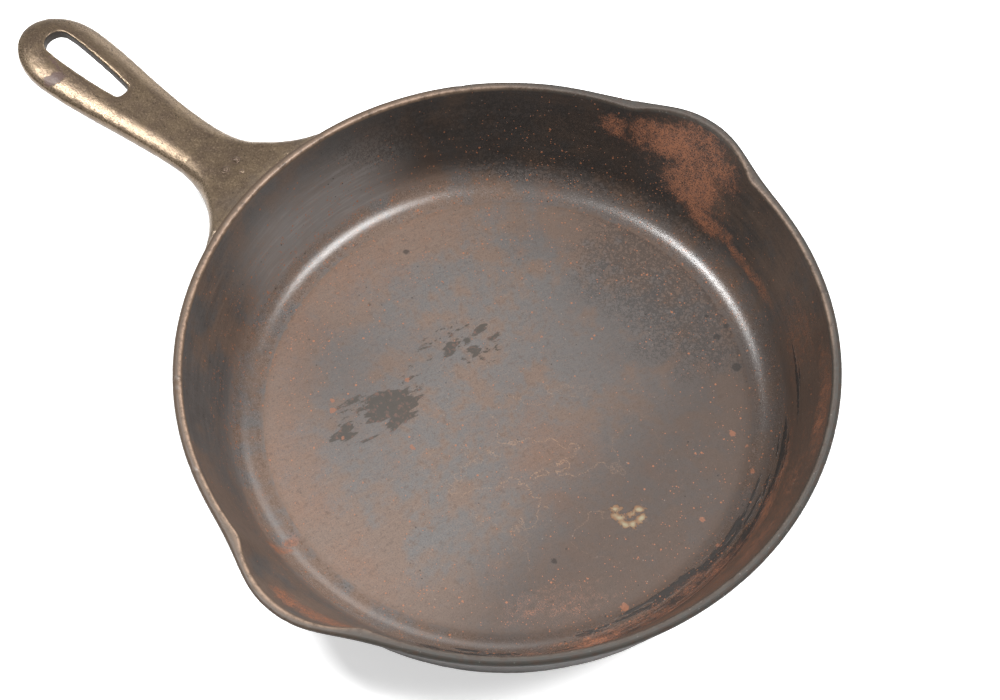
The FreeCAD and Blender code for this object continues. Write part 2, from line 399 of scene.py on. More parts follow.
def stands_for(piece, node):
    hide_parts(node)
    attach(piece, "root")


def add_object(name, data):
    ob = bpy.data.objects.new(name, data)
    bpy.context.collection.objects.link(ob)
    return ob


def make_piece(name, node, skin, quads, triangles, materials, material_index=0):
    """The piece that stands for a CAD node: some of a skin's faces, with the whole
    skin's own normals, so that no seam shows where two pieces meet. Each of the skin's
    fields becomes a point attribute."""
    used = np.unique(np.concatenate([quads.reshape(-1), triangles.reshape(-1)]))
    new = np.full(len(skin.points), -1)
    new[used] = np.arange(len(used))
    mesh = bpy.data.meshes.new(name)
    mesh.vertices.add(len(used))
    mesh.vertices.foreach_set("co", (skin.points[used] * MM).astype(np.float32).reshape(-1))
    corners = np.concatenate([new[quads].reshape(-1), new[triangles].reshape(-1)])
    mesh.loops.add(len(corners))
    mesh.loops.foreach_set("vertex_index", corners.astype(np.int32))
    sizes = np.concatenate([np.full(len(quads), 4), np.full(len(triangles), 3)])
    starts = np.concatenate([[0], np.cumsum(sizes)[:-1]])
    mesh.polygons.add(len(sizes))
    mesh.polygons.foreach_set("loop_start", starts.astype(np.int32))
    indices = material_index * np.ones(len(sizes), np.int32)
    mesh.polygons.foreach_set("material_index", indices.astype(np.int32))
    mesh.polygons.foreach_set("use_smooth", np.ones(len(sizes), bool))
    for field, values in skin.fields.items():
        layer = mesh.attributes.new(field, "FLOAT", "POINT")
        layer.data.foreach_set("value", values[used].astype(np.float32))
    mesh.update(calc_edges=True)
    mesh.validate()
    mesh.normals_split_custom_set_from_vertices(skin.normals[used].tolist())
    for material in materials:
        mesh.materials.append(material)
    stands_for(add_object(name, mesh), node)


# ---------------------------------------------------------------- marks of use
# Places on the floor are (x, y); places up the inside are (azimuth, reach), where the
# floor's edge has reach 0, the fillet ends at 16 and the rim's inner edge is near 49.

# Patches where the seasoning is burnt dull: x, y, half length, half width, turn
BURNT_PATCHES = (
    (33, 26, 10.5, 6.0, 60),
    (27, 29, 5.5, 3.5, 60),
    (45, 33, 3.0, 1.2, 60),
    (38, 45, 4.6, 3.0, 65),
    (33, 44, 3.0, 1.0, 65),
    (39, -2, 2.6, 1.8, 80),
    (36, 3, 1.8, 1.2, 40),
    (31, -6, 3.2, 2.4, 110),
    (25, -11, 3.2, 1.2, 160),
    (28, -20, 2.3, 2.0, 40),
    (22, -18, 3.6, 1.5, 25),
    (32, -20, 2.0, 0.8, 15),
)
# Where small burnt flecks are scattered: x, y, half length, half width, turn
FLECKED_PATCHES = (
    (32, 14, 12, 7, 150),
    (19, -12, 13, 7, 60),
    (33, -8, 13, 10, 60),
    (42, 36, 12, 8, 60),
)
# Single burnt drops: x, y, radius
BURNT_DROPS = (
    (-56, -63, 2.1),
    (-43, -75, 1.4),
    (-43, -69, 1.4),
    (-35, -74, 1.1),
    (-50, 38, 1.4),
    (70, -28, 1.2),
    (66, -2, 0.8),
    (82, -9, 0.5),
    (-4, -73, 0.8),
    (-17, -61, 0.7),
)
# Beads of orange rust: x, y, radius
RUST_BEADS = (
    (51, 37, 0.9),
    (48, 40, 1.2),
    (35, 14, 1.0),
    (16, 34, 1.0),
    (38, 46, 0.9),
    (-70, -40, 1.3),
    (-84, -32, 1.1),
    (-81, -6, 0.8),
    (-79, 37, 1.7),
    (-77, -39, 0.7),
    (-91, -1, 0.9),
)
# Dried yellow-grey food: x, y, half length, half width, turn
RESIDUE = (
    (-54.6, 9.4, 1.5, 1.0, 40),
    (-57.5, 11.2, 2.2, 1.2, 30),
    (-60.6, 12.0, 1.8, 1.1, 0),
    (-63.2, 10.2, 1.5, 0.9, 120),
    (-64.1, 6.4, 1.9, 1.2, 95),
    (-61.5, 4.4, 1.6, 0.9, 30),
    (-60.6, 7.0, 1.4, 0.6, 80),
)
# Rust up the inside: azimuth, reach, half length round the wall, half height, turn, strength
RUST_SMEARS = (
    (270, 40, 26, 10, 0, 0.85),
    (275, 40, 14, 8, 0, 1.0),
    (267, 29, 18, 9, 0, 1.0),
    (260, 21, 16, 4, 0, 0.9),
    (246, 20, 20, 2.5, 0, 0.7),
    (285, 40, 8, 5, 0, 0.7),
    (208, 44, 24, 7, 0, 0.6),
    (226, 30, 22, 12, 0, 0.36),
    (172, 33, 64, 15, 0, 0.56),
    (97, 41, 17, 6, 8, 0.95),
    (90, 41, 7, 5, 0, 0.9),
    (74.5, 13, 8, 2.0, 95, 0.85),
    (73, 5, 4, 1.8, 70, 0.85),
    (158, 11, 52, 6, 0, 0.75),
    (185, 18, 44, 5, 0, 0.7),
    (140, -8, 32, 7, 0, 0.30),
)
# Black carbon up the inside: azimuth, reach, half length, half height, turn, strength
CARBON_STREAKS = (
    (168, 10, 64, 8, 0, 1.0),
    (155, 6, 28, 4, 0, 1.0),
    (200, 14, 24, 5, 0, 0.9),
    (120, 13, 22, 5, 0, 0.75),
    (216, 23, 24, 3, 5, 0.72),
)
# Reddish scars beside the slot in the handle: x, y, half length, half width, turn
HANDLE_SCARS = (
    (204, 11.0, 4.2, 2.6, 60),
    (207, 6.5, 3.6, 0.7, 165),
)


def angle_gap(azimuth, centre):
    return (azimuth - centre + 180) % 360 - 180


def window(azimuth, centre, half, soft):
    """1 within half degrees of a centre, and fading to 0 over the next soft degrees."""
    return 1 - smooth(half, half + soft, np.abs(angle_gap(azimuth, centre)))


def inside_ellipse(across, along, half_length, half_width, turn):
    """How far inside an ellipse a point is, in millimetres, and below zero outside it."""
    u, v = turned(across, along, turn)
    return (1 - np.hypot(u / half_length, v / half_width)) * min(half_length, half_width)


def ellipse_marks(points, marks):
    """How far inside the nearest of some marks, seen from above, each point is."""
    deepest = np.full(len(points), -6.0)
    for x, y, half_length, half_width, turn in marks:
        here = inside_ellipse(points[:, 0] - x, points[:, 1] - y, half_length, half_width, turn)
        deepest = np.maximum(deepest, here)
    return deepest


def round_marks(points, marks):
    return ellipse_marks(points, [(x, y, radius, radius, 0) for x, y, radius in marks])


def wall_marks(azimuth, reach, marks):
    """The strongest of some smears, 1 in the middle of a full one and 0 well outside."""
    total = np.zeros(len(reach))
    for centre, height, half_length, half_height, turn, strength in marks:
        across = np.radians(angle_gap(azimuth, centre)) * RIM_RADIUS
        u, v = turned(across, reach - height, turn)
        distance = np.hypot(u / half_length, v / half_height)
        total = np.maximum(total, strength * (1 - smooth(0.35, 1.45, distance)))
    return total


def brushed(points):
    """Coordinates in which noise makes streaks along the way the floor was wiped."""
    along, across = turned(points[:, 0], points[:, 1], WIPED_TURN)
    return np.stack([0.25 * along, across, points[:, 2]], axis=-1)


def round_the_pan(points, stretch):
    """Coordinates in which noise makes streaks that run round the pan."""
    x, y, z = points.T
    return np.stack([np.hypot(x, y) + z, stretch * x, stretch * y], axis=-1)


def spot(x, y, radius):
    """1 at a place and fading round it, from how far each point lies from it."""
    return np.exp(-(x ** 2 + y ** 2) / radius ** 2)


def bump(distance, width):
    return np.exp(-(distance / width) ** 2)


def surveyed(points, reach):
    """Where each point of the pan lies, and the noises that its marks share."""
    x, y = points[:, 0], points[:, 1]
    return SimpleNamespace(
        points=points,
        reach=reach,
        x=x,
        y=y,
        azimuth=np.degrees(np.arctan2(y, x)) % 360,
        radius=np.hypot(x, y),
        inside=reach < RIM_REACH,
        floor=reach <= 0.0,
        wall=smooth(11, 22, reach),
        streaks=fbm(brushed(points), 1.5, 3, 31),
        broad=fbm(points, 38, 2, 41),
        blotch=fbm(points, 9, 3, 44),
        ringed=fbm(round_the_pan(points, 0.07), 1.4, 4, 47),
    )


def mark_fields(at):
    """The single marks: burnt, rusty, sooty and dirty."""
    warped_reach = at.reach + 2.0 * fbm(at.points, 9, 2, 51)
    warped_azimuth = at.azimuth + 3.0 * fbm(at.points, 12, 3, 54)
    burnt = ellipse_marks(at.points, BURNT_PATCHES)
    flecked = smooth(-0.5, 3, ellipse_marks(at.points, FLECKED_PATCHES))
    rust = wall_marks(warped_azimuth, warped_reach, RUST_SMEARS)
    rust = rust * (0.9 + 0.5 * at.blotch) + 0.22 * at.streaks * (rust > 0.05)
    carbon = wall_marks(warped_azimuth, warped_reach, CARBON_STREAKS)
    carbon = np.clip(carbon * (0.74 + 1.25 * at.ringed), 0, 1.2)
    return {
        "burnt": burnt + 2.6 * at.streaks + 0.5 * at.blotch,
        "drops": round_marks(at.points, BURNT_DROPS) + 0.3 * at.streaks,
        "flecked": flecked * at.floor,
        "beads": round_marks(at.points, RUST_BEADS) + 0.5 * at.streaks,
        "residue": ellipse_marks(at.points, RESIDUE) + 0.9 * at.blotch + 0.6 * at.streaks,
        "rust": np.clip(rust, 0, 1.2) * at.inside,
        "carbon": carbon * at.inside,
    }


def wall_tones(at):
    """The wall is darkest on the far side, partly its own black seasoning and partly painted shade,
    and has a painted sheen beside the handle.
    """
    # Darker on the far side: partly the wall's own black seasoning, partly painted shade.
    soot_and_shade = 0.45 + 0.48 * window(at.azimuth, 308, 24, 30) + 0.22 * window(at.azimuth, 245, 25, 25)
    soot_and_shade -= 0.32 * window(at.azimuth, 192, 40, 22)
    soot_and_shade = at.wall * (soot_and_shade + 0.12 * at.ringed + 0.15 * at.blotch)
    # A painted sheen on the wall beside the handle, fading out towards the rim.
    painted_sheen = window(at.azimuth, 353, 9, 20) * smooth(9, 17, at.reach)
    painted_sheen *= 1 - 0.85 * smooth(24, 47, at.reach)
    painted_sheen *= 1 + 0.25 * at.ringed + 0.2 * at.blotch
    return {"soot_and_shade": np.clip(soot_and_shade, 0, 1), "painted_sheen": np.clip(painted_sheen, 0, 1)}


def cloud_tones(at):
    """Broad changes over the surface: painted shade, darker towards the right, the lower right and
    the near and far sides; a grey that is partly random tone and partly a painted sheen; and how
    warm a brown.
    """
    x, y = at.x, at.y
    # Painted shade: darker towards the right, the far side, the lower right and the near side, with
    # some random tone and a darker patch on the handle's side.
    shade = 0.60 * smooth(-35, 75, -0.78 * x - 0.62 * y)
    shade += 0.22 * smooth(25, 95, 0.62 * x - 0.78 * y)
    shade += 0.98 * smooth(20, 88, -0.98 * x + 0.17 * y)
    shade += 0.28 * smooth(40, 95, -0.62 * x + 0.78 * y)
    shade += 0.22 * at.broad + 0.52 * spot(x - 62, y - 28, 28)
    shade *= 1 - 0.35 * at.wall
    # A bluish grey, partly random tone and partly a painted sheen standing for the lamps'
    # reflection.
    grey_tone_and_sheen = 0.50 + 0.45 * at.broad + 0.60 * at.blotch + 0.3 * spot(x, y + 46, 30)
    grey_tone_and_sheen -= 0.30 * smooth(60, 88, at.radius) * at.floor
    warm = 0.22 + 0.30 * at.blotch + 0.20 * at.broad
    warm += 0.45 * spot(x + 22, y - 3, 17) + 0.45 * spot(x + 76, y - 34, 34)
    warm += 0.42 * at.floor * window(at.azimuth, 30, 50, 40) * smooth(58, 82, at.radius)
    warm += 0.72 * at.wall * window(at.azimuth, 175, 42, 22)
    warm -= 0.28 * at.wall * window(at.azimuth, 35, 45, 25)
    return {
        "shade": np.clip(shade, 0, 1),
        "grey_tone_and_sheen": np.clip(grey_tone_and_sheen, 0, 1),
        "warm": np.clip(warm, 0, 1.2),
    }


def fine_marks(at, carbon):
    """Where the dark network, the rust specks and the fine scratches are."""
    mottle = at.floor * window(at.azimuth, 258, 14, 30) * smooth(32, 78, at.radius)
    mottle += window(at.azimuth, 287, 22, 16) * bump(at.reach - 16, 7)
    mottle += 0.8 * window(at.azimuth, 300, 30, 25) * bump(at.reach - 36, 12)
    far_left = window(at.azimuth, 320, 55, 40) * smooth(45, 85, at.radius)
    left_wall = window(at.azimuth, 45, 45, 30) * smooth(8, 13, at.reach)
    low_right = window(at.azimuth, 175, 60, 40) * smooth(50, 80, at.radius)
    specks = 0.30 + 0.5 * bump(at.reach - 6.0 - at.blotch, 2.4) + 1.2 * carbon
    specks += 1.1 * far_left * smooth(38, 20, at.reach)
    specks += 2.6 * left_wall * smooth(36, 20, at.reach)
    specks += 0.7 * low_right * smooth(20, 10, at.reach)
    return {
        "mottle": np.clip(mottle + 0.2 * at.blotch * (mottle > 0.1), 0, 1),
        "specks": np.clip(specks, 0, 3),
        "scuffed": spot(at.x + 24, at.y - 12, 30) * at.floor,
    }


def rim_fields(at):
    """The rim is bronze towards the handle, and its inner edge is painted bright there, partly wear
    and partly a painted highlight.
    """
    bronze = window(at.azimuth, 25, 48, 45)
    # The bright line at the rim's inner edge: partly wear, partly a painted highlight.
    edge_wear_and_highlight = 0.75 * np.clip(bronze + 0.12, 0, 1) + 0.4 * window(at.azimuth, 242, 16, 12)
    return {
        "bronze": np.clip(bronze + 0.15 * at.blotch, 0, 1),
        "rim": 1 - smooth(1.6, 3.3, np.abs(at.reach - RIM_REACH)),
        "edge": edge_wear_and_highlight * bump(at.reach - RIM_REACH + 1.1, 0.8),
    }


def pan_fields(points, reach):
    """What the materials need to know about each point of the pan."""
    at = surveyed(points, reach)
    marks = mark_fields(at)
    fillet = smooth(-3, 3, reach) * smooth(16, 11, reach) * at.inside
    return {
        **marks,
        **wall_tones(at),
        **cloud_tones(at),
        **fine_marks(at, marks["carbon"]),
        **rim_fields(at),
        "polish": fillet,
    }


def pan_relief(points, reach, fields):
    """How far each point of the pan stands out from its even shape."""
    outside = smooth(RIM_REACH + 2.5, RIM_REACH + 5, reach)
    inside = 1 - smooth(RIM_REACH - 4, RIM_REACH - 1, reach)
    waves = 0.05 * fbm(points, 26, 2, 61) * inside
    crust = smooth(0.35, 0.9, fields["carbon"]) * (0.07 + 0.2 * np.abs(fbm(points, 2.4, 3, 64)))
    scale = 0.10 * fields["rust"] * np.maximum(0, fbm(points, 1.6, 2, 68))
    casting = 0.12 * fbm(points, 11, 2, 71) + 0.07 * fbm(points, 2.0, 2, 74) - 0.16
    nick = smooth(0.55, 0.8, value_noise(points, 3.1, 78)) * 0.22
    wear = 0.06 * fbm(points, 14, 2, 81) - 0.06
    return waves + crust + scale + casting * outside + (wear - nick) * fields["rim"]


# ---------------------------------------------------------------- heat ring and pips


def ring_skin():
    """The raised ring under the base, as a closed tube sunk a little into the base."""
    inner = RING_OUTER - RING_WIDTH
    top = RING_HEIGHT + RING_SUNK
    outer_foot = corner_arc((RING_OUTER, top), (RING_OUTER, 0), (inner, 0), RING_ROUND, 7)
    inner_foot = corner_arc((RING_OUTER, 0), (inner, 0), (inner, top), RING_ROUND, 7)
    sole = between(outer_foot[-1], inner_foot[0], 0.4)
    outside = np.vstack([[(RING_OUTER, top)], between((RING_OUTER, top), outer_foot[0], 0.3)])
    inside = np.vstack([between(inner_foot[-1], (inner, top), 0.3), [(inner, top)]])
    section = np.vstack([outside, outer_foot, sole, inner_foot, inside])
    angle = np.arange(COLUMNS) * 2 * math.pi / COLUMNS
    grid = turned_section(section[:, :1], section[:, 1:], angle)
    index = np.arange(grid.shape[0] * COLUMNS).reshape(-1, COLUMNS)
    closed = np.vstack([index, index[:1]])
    return grid.reshape(-1, 3), ring_quads(closed).reshape(-1, 4)


def build_ring(material):
    points, quads = ring_skin()
    none = np.empty((0, 3), int)
    normals = vertex_normals(points, quads, none)
    dents = 0.05 * fbm(points, 5, 3, 91) - 0.07
    dents *= smooth(RING_HEIGHT + 0.3, RING_HEIGHT - 0.2, points[:, 2])
    points = points + normals * dents[:, None]
    skin = SimpleNamespace(
        points=points,
        normals=vertex_normals(points, quads, none),
        fields={name: np.zeros(len(points)) for name in ("rim", "bronze", "edge")},
    )
    make_piece("cast_heat_ring", "heat_ring", skin, quads, none, [material])


def pip_skin(centre_x, centre_y, base, rise, half_width, seed):
    """One worn round pip, as a closed dome sunk into the handle."""
    rings, spokes, sunk = 14, 40, 0.6
    t = np.arange(1, rings + 1) / rings
    radius = half_width * 1.22 * t
    dome = rise * np.maximum(0, 1 - (radius / half_width) ** 2.2) ** 0.8
    profile = np.c_[np.append(radius, radius[-1]), np.append(base + dome, base - sunk)]
    angle = np.arange(spokes) * 2 * math.pi / spokes
    rows = turned_section(profile[:, :1], profile[:, 1:], angle) + (centre_x, centre_y, 0)
    points = np.vstack([
        rows.reshape(-1, 3),
        [[centre_x, centre_y, base + rise], [centre_x, centre_y, base - sunk]],
    ])
    points[:, 2] += 0.05 * value_noise(points, 0.9, seed) * (points[:, 2] > base + 0.1)
    index = np.arange((rings + 1) * spokes).reshape(-1, spokes)
    quads = ring_quads(index).reshape(-1, 4)
    crown = (rings + 1) * spokes
    fans = np.vstack([fan(index[0], crown), fan(index[-1], crown + 1)[:, ::-1]])
    return points, quads, fans


def handle_top(x):
    stations = np.array(HANDLE_STATIONS)
    return np.interp(x, stations[:, 0], stations[:, 3])


def build_pips(material):
    """The generic casting mark: three small round pips in a triangle on the handle's root."""
    half_width = (MARK_HIGH[1] - MARK_LOW[1] - (MARK_HIGH[0] - MARK_LOW[0]) / 3) / 4
    near_x, far_x = MARK_LOW[0] + half_width, MARK_HIGH[0] - half_width
    side_y = MARK_HIGH[1] - half_width
    all_points, all_quads, all_fans = [], [], []
    count = 0
    for x, y in ((near_x, 0.0), (far_x, side_y), (far_x, -side_y)):
        seed = 95 + len(all_points)
        points, quads, fans = pip_skin(x, y, handle_top(x), PIP_RISE, half_width, seed)
        all_points.append(points)
        all_quads.append(quads + count)
        all_fans.append(fans + count)
        count += len(points)
    points = np.vstack(all_points)
    quads = np.vstack(all_quads)
    fans = np.vstack(all_fans)
    skin = SimpleNamespace(
        points=points,
        normals=vertex_normals(points, quads, fans),
        fields={"wear": np.full(count, 0.4), "scar": np.zeros(count), "painted_handle_shade": np.zeros(count)},
    )
    make_piece("cast_pips", "casting_mark", skin, quads, fans, [material])


# ---------------------------------------------------------------- the handle


def joined_handle():
    """The two CAD handle solids as one skin, without the faces where they meet."""
    points, faces = [], []
    count = 0
    for node in ("handle_root", "handle_grip"):
        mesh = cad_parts[node].data
        here = np.array([v.co for v in mesh.vertices]) / MM
        for polygon in mesh.polygons:
            corners = list(polygon.vertices)
            if np.all(np.abs(here[corners, 0] - ROOT_END) < 0.01):
                continue
            faces.append([count + corner for corner in corners])
        points.append(here)
        count += len(here)
    mesh = bpy.data.meshes.new("handle_shape")
    mesh.from_pydata((np.vstack(points) * MM).tolist(), [], faces)
    mesh.update()
    shape = add_object("handle_shape", mesh)
    weld = shape.modifiers.new("weld", "WELD")
    weld.merge_threshold = 0.02 * MM
    remesh = shape.modifiers.new("remesh", "REMESH")
    remesh.mode = "VOXEL"
    remesh.voxel_size = HANDLE_VOXEL * MM
    relax = shape.modifiers.new("relax", "SMOOTH")
    relax.factor = 0.5
    relax.iterations = HANDLE_SMOOTHING
    shape_now = shape.evaluated_get(bpy.context.evaluated_depsgraph_get())
    done = bpy.data.meshes.new_from_object(shape_now)
    bpy.data.objects.remove(shape)
    points = np.array([v.co for v in done.vertices]) / MM
    quads = np.array([p.vertices[:] for p in done.polygons if len(p.vertices) == 4])
    bpy.data.meshes.remove(done)
    return points, quads


def neighbour_mean(points, quads):
    total = np.zeros_like(points)
    count = np.zeros((len(points), 1))
    for corner in range(4):
        here = quads[:, corner]
        for step in (1, 3):
            np.add.at(total, here, points[quads[:, (corner + step) % 4]])
            np.add.at(count, here, 1)
    return total / np.maximum(count, 1)


def crown(points):
    """Rounds the handle's flat top down towards its edges, and leaves its sides."""
    x, y, z = points.T
    stations = np.array(HANDLE_STATIONS)
    nearby = x[:, None] + np.linspace(-9, 9, 7)
    width, under, top = (
        np.interp(nearby, stations[:, 0], stations[:, k]).mean(axis=1)
        for k in (1, 2, 3)
    )
    past_widest = np.maximum(0, x - WIDEST_X) / (TIP_X - WIDEST_X)
    inset = width * (1 - np.hypot(past_widest, y / width)) + CROWN_MARGIN
    short = 1 - np.clip(inset / CROWN_REACH, 0, 1)
    side = under + CROWN_SIDE
    dome = side + (top - side) * np.sqrt(1 - short ** 2)
    lowered = z + (np.minimum(z, dome) - z) * smooth(CROWN_START, CROWN_FULL, x)
    return np.stack([x, y, np.where(z > side, lowered, z)], axis=-1)


def weld_to_wall(points, normals):
    """Sinks the handle's end into the wall, and flares it into a rounded weld around."""
    axis = points * (1, 1, 0)
    outward = axis / np.linalg.norm(axis, axis=1, keepdims=True)
    gap = axis_distance(points) - outer_wall_radius(points[:, 2])
    gap *= math.cos(OUTER_DRAFT)
    facing = (normals * outward).sum(axis=1)
    sideways = normals - outward * facing[:, None]
    short = np.clip(WELD_RADIUS - gap, 0, WELD_RADIUS)
    flare = WELD_RADIUS - np.sqrt(WELD_RADIUS ** 2 - short ** 2)
    below = 1 - smooth(-0.35, 0.5, normals[:, 2])
    flare *= 0.04 + 0.96 * below
    sink = WELD_DEPTH * smooth(0.9, 0.3, gap) * smooth(0.1, 0.6, -facing)
    return points + sideways * flare[:, None] - outward * sink[:, None]


def handle_fields(points, quads, normals):
    curve = ((points - neighbour_mean(points, quads)) * normals).sum(axis=1)
    for _ in range(3):
        curve = neighbour_mean(curve[:, None] * np.ones(3), quads)[:, 0]
    shoulder = smooth(0.12, 0.34, np.abs(normals[:, 1])) * smooth(0.25, 0.6, normals[:, 2])
    wear = 0.8 * shoulder + 0.5 * smooth(0.002, 0.012, curve)
    hollow = smooth(-0.002, -0.010, curve)
    near_wall = smooth(14, 0, axis_distance(points) - RIM_RADIUS)
    below = smooth(0.1, -0.6, normals[:, 2])
    by_slot = (points[:, 0] > SLOT_START) & (points[:, 0] < SLOT_END)
    by_slot &= np.abs(points[:, 1] - SLOT_Y) < SLOT_HALF_WIDTH
    slot_wall = smooth(0.75, 0.35, np.abs(normals[:, 2])) * by_slot
    blotch = fbm(points, 8, 3, 101)
    # Painted shade: darker in hollows, underneath, on the slot's walls and next to the pan's wall,
    # with random blotches.
    painted_handle_shade = 0.5 * hollow + 0.35 * near_wall + 0.6 * below + slot_wall + 0.2 * blotch
    scar = ellipse_marks(points, HANDLE_SCARS) + 0.9 * fbm(points, 2.2, 3, 104) - 3.0 * below
    return {
        "wear": np.clip(wear + 0.15 * blotch, 0, 1),
        "painted_handle_shade": np.clip(painted_handle_shade, 0, 1),
        "scar": scar,
    }


def handle_relief(points):
    return 0.05 * fbm(points, 1.7, 2, 111) + 0.08 * fbm(points, 10, 2, 114) - 0.06


def open_loop(faces):
    """The points round the hole of a skin with one hole, in the order of its own faces."""
    starts = faces.reshape(-1)
    ends = np.roll(faces, -1, axis=1).reshape(-1)
    sides = set(zip(starts.tolist(), ends.tolist()))
    following = {b: a for a, b in sides if (b, a) not in sides}
    first = next(iter(following))
    loop = [first]
    while following[loop[-1]] != first:
        loop.append(following[loop[-1]])
    return np.array(loop)


def build_handle(material):
    points, quads = joined_handle()
    none = np.empty((0, 3), int)
    points = crown(points)
    for _ in range(4):
        points = neighbour_mean(points, quads)
    normals = vertex_normals(points, quads, none)
    points = weld_to_wall(points, normals)
    normals = vertex_normals(points, quads, none)
    fields = handle_fields(points, quads, normals)
    points = points + normals * handle_relief(points)[:, None]
    normals = vertex_normals(points, quads, none)
    middles = points[quads, 0].mean(axis=1)
    for node, chosen in (("handle_root", middles < ROOT_END), ("handle_grip", middles >= ROOT_END)):
        faces = quads[chosen]
        loop = open_loop(faces)
        cap = fan(loop, len(points))
        skin = SimpleNamespace(
            points=np.vstack([points, points[loop].mean(axis=0)]),
            normals=np.vstack([normals, [[1, 0, 0]]]),
            fields={name: np.append(values, 0.0) for name, values in fields.items()},
        )
        make_piece("cast_" + node, node, skin, faces, cap, [material])


# ---------------------------------------------------------------- materials


class Shader:
    """A material's nodes, with a short call for each kind that the materials share.
    Sizes and heights are in millimetres, in the CAD frame."""

    def __init__(self, name):
        self.material = bpy.data.materials.new(name)
        self.material.use_nodes = True
        self.tree = self.material.node_tree
        self.surface = self.tree.nodes["Principled BSDF"]
        self.place = self.scaled(self.node("ShaderNodeTexCoord").outputs["Object"], 1 / MM)

    def node(self, kind, *inputs, named=(), **settings):
        """A new node: its first inputs in order, others by name or number, and settings."""
        node = self.tree.nodes.new(kind)
        for name, value in settings.items():
            setattr(node, name, value)
        for socket, value in [*enumerate(inputs), *dict(named).items()]:
            self.put(node.inputs[socket], value)
        return node

    def put(self, socket, value):
        if isinstance(value, bpy.types.NodeSocket):
            self.tree.links.new(value, socket)
        elif isinstance(value, tuple) and len(value) == 3 and socket.type == "RGBA":
            socket.default_value = (*value, 1.0)
        else:
            socket.default_value = value

    def scaled(self, vector, scale):
        node = self.node("ShaderNodeVectorMath", vector, named={"Scale": scale}, operation="SCALE")
        return node.outputs[0]

    def wiped(self, length):
        """The place turned so that noise draws out along the way the floor was wiped."""
        turn = {"Rotation": (0, 0, math.radians(WIPED_TURN)), "Scale": (length, 1, 1)}
        node = self.node("ShaderNodeMapping", self.place, named=turn, vector_type="TEXTURE")
        return node.outputs[0]

    def math(self, operation, a, b=0.0):
        return self.node("ShaderNodeMath", a, b, operation=operation).outputs[0]

    def most(self, a, b):
        return self.math("MAXIMUM", a, b)

    def add(self, *values):
        total = values[0]
        for value in values[1:]:
            total = self.math("ADD", total, value)
        return total

    def times(self, a, b):
        return self.math("MULTIPLY", a, b)

    def field(self, name):
        return self.node("ShaderNodeAttribute", attribute_name=name).outputs["Fac"]

    def noise(self, size, detail=2.0, place=None, roughness=0.55):
        """Cloudy noise from 0 to 1, with lumps about as wide as size."""
        look = {"Scale": 1 / size, "Detail": detail, "Roughness": roughness}
        return self.node("ShaderNodeTexNoise", place or self.place, named=look).outputs[0]

    def spots(self, spacing, radius, share):
        """Small round spots: one in each cell of that spacing, but only in that share
        of the cells."""
        node = self.node("ShaderNodeTexVoronoi", self.place, named={"Scale": 1 / spacing})
        chance = self.node("ShaderNodeSeparateColor", node.outputs["Color"])
        size = self.times(self.add(chance.outputs[1], 0.35), radius / spacing)
        depth = self.math("SUBTRACT", size, node.outputs["Distance"])
        inside = self.step(0.0, 0.25 * radius / spacing, depth)
        chosen = self.math("LESS_THAN", chance.outputs[0], share)
        return self.times(inside, chosen)

    def step(self, first, last, value):
        """0 below first, 1 above last and smooth between them."""
        node = self.node("ShaderNodeMapRange", value, first, last, interpolation_type="SMOOTHSTEP")
        return node.outputs["Result"]

    def wander(self, noise, amount):
        """Noise from 0 to 1 as a change up and down, by half that amount at most."""
        return self.times(self.math("SUBTRACT", noise, 0.5), amount)

    def ragged(self, field, noise, amount, first, last):
        """A field's edge broken up by noise."""
        return self.step(first, last, self.add(field, self.wander(noise, amount)))

    def mix(self, share, a, b):
        return self.node("ShaderNodeMix", share, named={6: a, 7: b}, data_type="RGBA").outputs[2]

    def cover(self, colour, over, mask, share):
        """A colour with that share of another over it, where the mask is 1."""
        return self.mix(self.times(mask, share), colour, over)

    def blend(self, share, a, b):
        """A number between a and b."""
        return self.node("ShaderNodeMix", share, named={2: a, 3: b}, data_type="FLOAT").outputs[0]

    def circles(self, size, stretch):
        """Noise drawn out round the pan: the smaller the stretch, the longer its streaks."""
        x, y, z = self.node("ShaderNodeSeparateXYZ", self.place).outputs
        flat = self.node("ShaderNodeCombineXYZ", x, y).outputs[0]
        radius = self.node("ShaderNodeVectorMath", flat, operation="LENGTH").outputs["Value"]
        streak = (self.add(radius, z), self.times(x, stretch), self.times(y, stretch))
        return self.noise(size, 3.0, self.node("ShaderNodeCombineXYZ", *streak).outputs[0])

    def done(self, colour, roughness, height, metallic=0.0, specular=0.5):
        bumps = {"Strength": 1.0, "Distance": MM, "Height": height}
        for socket, value in (
            ("Base Color", colour),
            ("Roughness", roughness),
            ("Metallic", metallic),
            ("Specular IOR Level", specular),
            ("Normal", self.node("ShaderNodeBump", named=bumps).outputs["Normal"]),
        ):
            self.put(self.surface.inputs[socket], value)
        return self.material


BROWN_SEASONING = (0.134, 0.092, 0.070)
# Partly stands in for a painted sheen on the floor.
GREY_SEASONING_AND_SHEEN = (0.102, 0.096, 0.093)
PALE_SEASONING = (0.200, 0.150, 0.125)
STAINED = (0.150, 0.084, 0.054)
# The two greys of the painted sheen on the wall beside the handle.
SHEEN_IRON = (0.185, 0.168, 0.158)
BRIGHT_SHEEN_IRON = (0.222, 0.204, 0.193)
SOOT = (0.014, 0.0115, 0.010)
DARK_BROWN = (0.042, 0.028, 0.021)
ORANGE_RUST = (0.255, 0.100, 0.050)
BROWN_RUST = (0.130, 0.060, 0.040)
DULL_OLIVE = (0.030, 0.024, 0.018)
DRIED_FOOD = (0.30, 0.270, 0.170)
DRIED_EDGE = (0.200, 0.105, 0.050)
WORN_IRON = (0.034, 0.032, 0.028)
PALE_FLECK = (0.14, 0.13, 0.12)
FINE_SCRATCH = (0.34, 0.20, 0.12)
RIM_BRONZE = (0.072, 0.049, 0.034)
